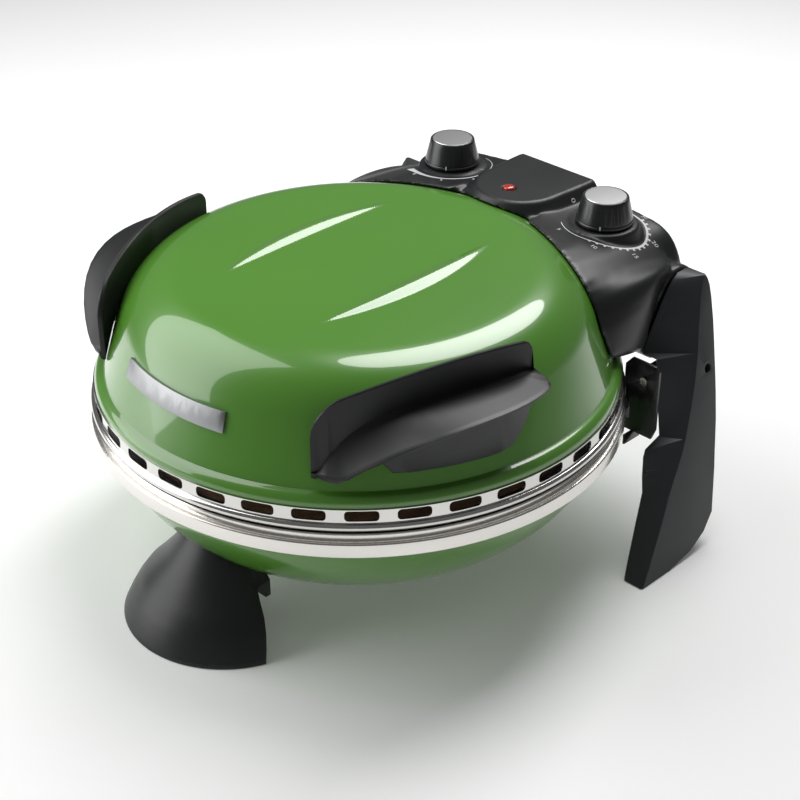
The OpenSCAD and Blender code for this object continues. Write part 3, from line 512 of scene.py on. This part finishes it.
def make_dome():
    """The lid's dome: a spun sheet with a rolled flange, and two ribs pressed up in its crown."""
    shoulder_start = math.degrees(math.atan2(SHOULDER_CENTRE[0], CROWN_RADIUS - CROWN_TOP
                                             + SHOULDER_CENTRE[1]))
    flange_centre = (CREASE[0], CREASE[1] - FLANGE_RADIUS - FLANGE_DROP)

    def section(inset, radii, shoulder_steps, flange_steps):
        radius = SHOULDER_RADIUS - inset
        points = [(r, crown_height(r) - inset) for r in radii]
        points += arc(SHOULDER_CENTRE, radius, 90 - shoulder_start, 90 - SIDE_ANGLE,
                      shoulder_steps)
        points += [(CREASE[0] - inset / math.sin(math.radians(SIDE_ANGLE)), CREASE[1])]
        points += arc(flange_centre, FLANGE_RADIUS - inset, FLANGE_START, 0, flange_steps)
        return points + [(CREASE[0] + FLANGE_RADIUS - inset, RING_TOP + FLANGE_GAP)]

    outer = section(0.0, CROWN_RADII, SHOULDER_STEPS, FLANGE_STEPS)
    inner = section(SHEET, CROWN_RADII_INSIDE, SHOULDER_STEPS_INSIDE, FLANGE_STEPS_INSIDE)
    piece = spun_piece("lid_dome_pressing", outer + inner[::-1], DOME_STEPS)
    for vertex in piece.data.vertices:
        x, y, z = vertex.co.x / MM, (vertex.co.y - OVEN_Y) / MM, vertex.co.z / MM
        radius = math.hypot(x, y)
        if z > crown_height(radius) - RIB_DEPTH and radius < RIB_REACH:
            vertex.co.z += rib_height(x, y) * MM
    shade(piece, DOME_SMOOTH)
    finish_piece(piece, green_enamel, "lid", "green_enamel", "lid_dome")


# ---------------------------------------------------------------- control housing

# Half the width of the raised middle, and the corner where a wing meets it.
PLATEAU_HALF = 33.5
CORNER = (37.0, 123.0)
HUB_RADIUS = 20.5
HUB_INNER = 98.0
HUB_OUTER = 119.2
HUB_ROUNDING = 2.5
HOUSING_VOXEL = 1.25
HOUSING_PASSES = 60
# Evening out: how far it goes where it should hardly act, and at the corners.
LEAST_WEIGHT = 0.06
CORNER_WEIGHT = 0.4
# Distances over which it sets in: from the dome, from a knob's axis, from the hub, beyond
# the raised middle, from a corner, and up from the rim.
FROM_DOME = (1.5, 8.0)
FROM_KNOB = (27.0, 35.0)
FROM_HUB = (1.0, 8.0)
FROM_PLATEAU = (4, 12)
FROM_CORNER = (8.0, 16.0)
RIM_HEIGHT = (122.0, 132.0)


def housing_weight(x, y, z):
    """Full on the wings; little by the dome, the hubs, the knobs, the middle and the rim."""
    radius = math.hypot(x, y)
    if radius > SHOULDER_CENTRE[0]:
        off_dome = math.hypot(radius - SHOULDER_CENTRE[0], z - SHOULDER_CENTRE[1])
        off_dome -= SHOULDER_RADIUS
    else:
        off_dome = z - SHOULDER_CENTRE[1] - SHOULDER_RADIUS
    off_knob = math.hypot(abs(x) - KNOB_X, y - KNOB_Y)
    off_hub = math.hypot(y - HINGE_Y, z - HINGE_Z) - HUB_RADIUS
    if abs(x) > HUB_INNER:
        reach = FROM_DOME[1] - FROM_DOME[0]
        off_dome = min(off_dome, FROM_DOME[0] + reach * ramp(off_hub, *FROM_HUB))
    wing = (ramp(off_dome, *FROM_DOME) * ramp(abs(x) - PLATEAU_HALF, *FROM_PLATEAU)
            * ramp(off_knob, *FROM_KNOB) * ramp(z, *RIM_HEIGHT))
    off_corner = math.hypot(abs(x) - CORNER[0], y - CORNER[1])
    corner = CORNER_WEIGHT * (1 - ramp(off_corner, *FROM_CORNER))
    return max(LEAST_WEIGHT, wing, corner)


def make_hub(side):
    """A plain hub round the hinge axis, with a rounded rim, at one end of the housing."""
    middle = side * (HUB_INNER + HUB_OUTER) / 2
    bpy.ops.object.select_all(action="DESELECT")
    bpy.ops.mesh.primitive_cylinder_add(
        vertices=96, radius=HUB_RADIUS * MM, depth=(HUB_OUTER - HUB_INNER) * MM,
        rotation=(0, math.pi / 2, 0),
        location=(middle * MM, OVEN_Y + HINGE_Y * MM, HINGE_Z * MM))
    hub = bpy.context.object
    bpy.ops.object.transform_apply(location=True, rotation=True, scale=True)
    apply_modifier(hub, "BEVEL", width=HUB_ROUNDING * MM, segments=4, limit_method="ANGLE",
                   angle_limit=math.radians(SHARP_EDGE))
    return hub


def join(parts, piece):
    """Joins parts into a piece."""
    bpy.ops.object.select_all(action="DESELECT")
    for part in parts:
        part.select_set(True)
    piece.select_set(True)
    bpy.context.view_layer.objects.active = piece
    bpy.ops.object.join()


def make_housing():
    """The control housing as one moulding: its blocks, wings, hubs and bosses blended."""
    piece = eased_copy("control_housing", "control_housing_moulding", black_plastic,
                       "black_plastic")
    join([make_hub(-1), make_hub(1)], piece)
    settle(piece, HOUSING_VOXEL, HOUSING_PASSES, housing_weight)
    return piece


# ---------------------------------------------------------------- printed scales

PRINT_LIFT = 0.08
# Prints are made flat at this height, above the oven, and then laid on their piece.
PRINT_START_M = 0.25

# Stops of each printed band: angle, inner radius, outer radius.
HEAT_BAND = [(75, 28.0, 28.4), (40, 27.8, 28.4), (0, 27.5, 28.5),
             (-50, 27.2, 29.0), (-90, 27.0, 30.0), (-128, 27.0, 31.8)]
HEAT_BAND_STEPS = 90
HEAT_TICK_TURNS = (-20, -60, -100)
HEAT_TICK = (31.5, 34.0)
HEAT_TICK_HALF_TURN = 1.2
TIME_BAND = [(-133, 28.0, 28.5), (-95, 27.9, 28.6), (-55, 27.8, 28.9),
             (0, 27.7, 29.2), (50, 27.7, 29.2), (88, 27.7, 29.0)]
TIME_BAND_STEPS = 120
TIME_TICKS = 15
TIME_TICK_FIRST = -70
TIME_TICK_PITCH = 10
TIME_TICK_INNER = 29.0
TIME_TICK_OUTER = 30.0
TIME_TICK_GROWTH = 0.9
TIME_TICK_GROWN = 10
TIME_TICK_HALF_TURN = 1.6
# Each number with its angle and radius.
TIME_FIGURES = (("0", 168, 33.0), ("5", -112, 33.5), ("10", -62, 34.5),
                ("15", -15, 34.5), ("20", 30, 34.0), ("30", 76, 33.5))
FIGURE_SIZE = 4.6
TICK_STEPS = 3

POINTER_TURN = -60
POINTER_START_RADIUS = 21
POINTER_HEIGHT = 200.6
POINTER_LENGTH = 3.2


def dial_point(knob_x, turn, radius, aside=0.0):
    """Place in metres at an angle and radius from a knob's axis, and so far aside of it."""
    turn = math.radians(turn)
    return ((knob_x + radius * math.cos(turn) - aside * math.sin(turn)) * MM,
            OVEN_Y + (KNOB_Y + radius * math.sin(turn) + aside * math.cos(turn)) * MM)


def strip(knob_x, stops, steps):
    """A band round a knob's axis through stops of (angle, inner radius, outer radius)."""
    bpy.ops.object.select_all(action="DESELECT")
    bpy.ops.mesh.primitive_grid_add(x_subdivisions=steps, y_subdivisions=2, size=1.0)
    piece = bpy.context.object
    for vertex in piece.data.vertices:
        along = (vertex.co.x + 0.5) * (len(stops) - 1)
        first = min(int(along), len(stops) - 2)
        share = along - first
        across = vertex.co.y + 0.5
        turn, low, high = (a + (b - a) * share for a, b in zip(stops[first], stops[first + 1]))
        radius = low + (high - low) * across
        vertex.co = dial_point(knob_x, turn, radius) + (PRINT_START_M,)
    return piece


def tick(knob_x, turn, half_turn, inner, outer):
    """A short mark across the scale, as wide as twice half_turn."""
    return strip(knob_x, [(turn - half_turn, inner, outer), (turn + half_turn, inner, outer)],
                 TICK_STEPS)


def figure(text, knob_x, turn, radius):
    """A number set at an angle and radius from a knob's axis, read from the front."""
    bpy.ops.object.select_all(action="DESELECT")
    bpy.ops.object.text_add()
    piece = bpy.context.object
    piece.data.body = text
    piece.data.size = FIGURE_SIZE * MM
    piece.data.align_x = "CENTER"
    piece.data.align_y = "CENTER"
    piece.data.resolution_u = 4
    bpy.ops.object.convert(target="MESH")
    piece = bpy.context.object
    place = dial_point(knob_x, turn, radius) + (PRINT_START_M,)
    piece.data.transform(Matrix.Translation(place))
    return piece


def print_on(name, parts, target, material, body, slot):
    """Joins flat prints, lays them on a piece from above and rides them with it."""
    piece = parts[0]
    join(parts[1:], piece)
    piece.name = name
    apply_modifier(piece, "SHRINKWRAP", target=target, wrap_method="PROJECT",
                   use_project_z=True, use_negative_direction=True,
                   use_positive_direction=False, offset=PRINT_LIFT * MM)
    finish_piece(piece, material, body, slot)


def make_scales(housing):
    """The printed scales: a wedge for heat at the left knob, minutes at the right one."""
    heat = [strip(-KNOB_X, HEAT_BAND, HEAT_BAND_STEPS)]
    for turn in HEAT_TICK_TURNS:
        heat.append(tick(-KNOB_X, turn, HEAT_TICK_HALF_TURN, *HEAT_TICK))
    print_on("heat_scale_print", heat, housing, grey_ink, "lid", "pale_plastic")
    time = [strip(KNOB_X, TIME_BAND, TIME_BAND_STEPS)]
    for i in range(TIME_TICKS):
        turn = TIME_TICK_FIRST + TIME_TICK_PITCH * i
        outer = TIME_TICK_OUTER + TIME_TICK_GROWTH * min(i, TIME_TICK_GROWN) / TIME_TICK_GROWN
        time.append(tick(KNOB_X, turn, TIME_TICK_HALF_TURN, TIME_TICK_INNER, outer))
    for text, turn, radius in TIME_FIGURES:
        time.append(figure(text, KNOB_X, turn, radius))
    print_on("time_scale_print", time, housing, white_ink, "lid", "pale_plastic")


def make_pointer(name, knob, knob_x, body):
    """A white line on the knob's skirt, which is read against the printed scale."""
    bpy.ops.object.select_all(action="DESELECT")
    bpy.ops.mesh.primitive_grid_add(x_subdivisions=3, y_subdivisions=6, size=1.0)
    piece = bpy.context.object
    piece.name = name
    for vertex in piece.data.vertices:
        height = (POINTER_HEIGHT + vertex.co.y * POINTER_LENGTH) * MM
        place = dial_point(knob_x, POINTER_TURN, POINTER_START_RADIUS, vertex.co.x)
        vertex.co = place + (height,)
    apply_modifier(piece, "SHRINKWRAP", target=knob, wrap_method="NEAREST_SURFACEPOINT",
                   wrap_mode="ABOVE_SURFACE", offset=PRINT_LIFT * MM)
    finish_piece(piece, white_ink, body, "pale_plastic")


# ---------------------------------------------------------------- all pieces

make_dome()
eased_copy("base_bowl", "base_bowl_pressing", green_enamel, "green_enamel")
eased_copy("base_rim_band", "base_rim_band_strip", band_steel, "stainless", smooth=25)
eased_copy("lid_vent_ring", "lid_vent_ring_strip", ring_steel, "stainless", smooth=25)
for side in ("left", "right"):
    eased_copy("grip_" + side, "grip_" + side + "_moulding", grip_plastic, "black_plastic", 0.5,
               segments=3)
    eased_copy("rear_leg_" + side, "rear_leg_" + side + "_moulding", leg_plastic,
               "black_plastic", 1.0, segments=4)
    eased_copy("hinge_bracket_" + side, "hinge_bracket_" + side + "_pressing", black_steel,
               "black_steel", 0.3)
housing = make_housing()
make_scales(housing)
eased_copy("front_foot", "front_foot_moulding", black_plastic, "black_plastic", 0.6)
for dial, knob_x, disc in (("thermostat", -KNOB_X, disc_left), ("timer", KNOB_X, disc_right)):
    knob = eased_copy(dial + "_knob", dial + "_knob_moulding", knob_plastic, "knob_plastic", 0.3)
    make_pointer(dial + "_pointer_print", knob, knob_x, dial + "_control")
    eased_copy(dial + "_knob_disc", dial + "_knob_disc_turning", disc, "knob_disc", 0.15)
    eased_copy(dial + "_shaft", dial + "_shaft_turning", zinc_steel, "zinc_steel", 0.2)
eased_copy("front_badge", "front_badge_plate", badge_plate, "knob_disc", 0.4)
eased_copy("pilot_lens", "pilot_lens_moulding", red_lens, "red_lens", 0.15)
eased_copy("upper_element", "upper_element_tube", sheath, "element_sheath", smooth=50)
eased_copy("lower_element", "lower_element_tube", sheath, "element_sheath", smooth=50)
eased_copy("baking_stone", "baking_stone_slab", stone, "stoneware", 0.5)

finishes = {
    reflector: ["lid_liner", "base_liner"],
    zinc_steel: ["upper_element_clips", "lower_element_clips", "hinge_pins", "leg_screws",
                 "bracket_screws", "timer_body"],
    black_plastic: ["housing_floor"],
    black_steel: ["lid_hinge_arms"],
    pale_plastic: ["thermostat_body", "terminal_block"],
    lamp_glass: ["pilot_lamp"],
    bush_rubber: ["cord_bush"],
}
for finish, names in finishes.items():
    for name in names:
        dress(name, finish)


# ---------------------------------------------------------------- room and light

FLOOR_WIDTH = 12.0
FLOOR_DROP = 0.0005
AIR_STRENGTH = 0.13
OVEN_MIDDLE_HEIGHT = 0.16

# Each soft box: name, outline, direction from the oven, direction of its upright edge,
# then width, height and distance in metres, and power in watts.
SOFT_BOXES = (
    ("softbox_side", "RECTANGLE", (-0.68, -0.51, 0.53), (0.1, 0.66, 0.75), 1.0, 1.9, 1.2, 17.0),
    ("softbox_back", "ELLIPSE", (-0.11, 0.5, 0.86), (0.0, -0.8, 0.6), 0.72, 1.25, 1.3, 16.0),
)


def make_floor():
    """A wide white card that the oven stands on, lit a little from below."""
    bpy.ops.object.select_all(action="DESELECT")
    bpy.ops.mesh.primitive_plane_add(size=FLOOR_WIDTH, location=(0, 0, -FLOOR_DROP))
    floor = bpy.context.object
    floor.name = "studio_floor"
    bpy.ops.object.transform_apply(location=True, rotation=True, scale=True)
    material, tree, shader = new_material(
        "matt_white_card", Base_Color=colour("#F8F8F8"), Roughness=0.9,
        Emission_Color=colour("#FFFFFF"), Emission_Strength=0.08)
    grain(tree, shader, 2.0, 0.01, detail=2.0, strength=0.1)
    floor.data.materials.append(material)


def make_soft_box(name, outline, way, up, width, height, distance, power):
    """One large soft light that faces the oven."""
    data = bpy.data.lights.new(name, "AREA")
    data.shape = outline
    data.size = width
    data.size_y = height
    data.energy = power
    light = bpy.data.objects.new(name, data)
    back = Vector(way).normalized()
    side = Vector(up).cross(back).normalized()
    rise = back.cross(side)
    place = Matrix((side, rise, back)).transposed().to_4x4()
    place.translation = Vector((0.0, OVEN_Y, OVEN_MIDDLE_HEIGHT)) + back * distance
    light.matrix_world = place
    bpy.context.scene.collection.objects.link(light)


def studio():
    """A white floor, an even pale air and two soft boxes."""
    make_floor()
    world = bpy.data.worlds.new("studio_air")
    bpy.context.scene.world = world
    world.use_nodes = True
    air = world.node_tree.nodes["Background"]
    air.inputs["Color"].default_value = colour("#FFFFFF")
    air.inputs["Strength"].default_value = AIR_STRENGTH
    for box in SOFT_BOXES:
        make_soft_box(*box)
    bpy.context.scene.view_settings.view_transform = "Standard"


set_camera()
studio()
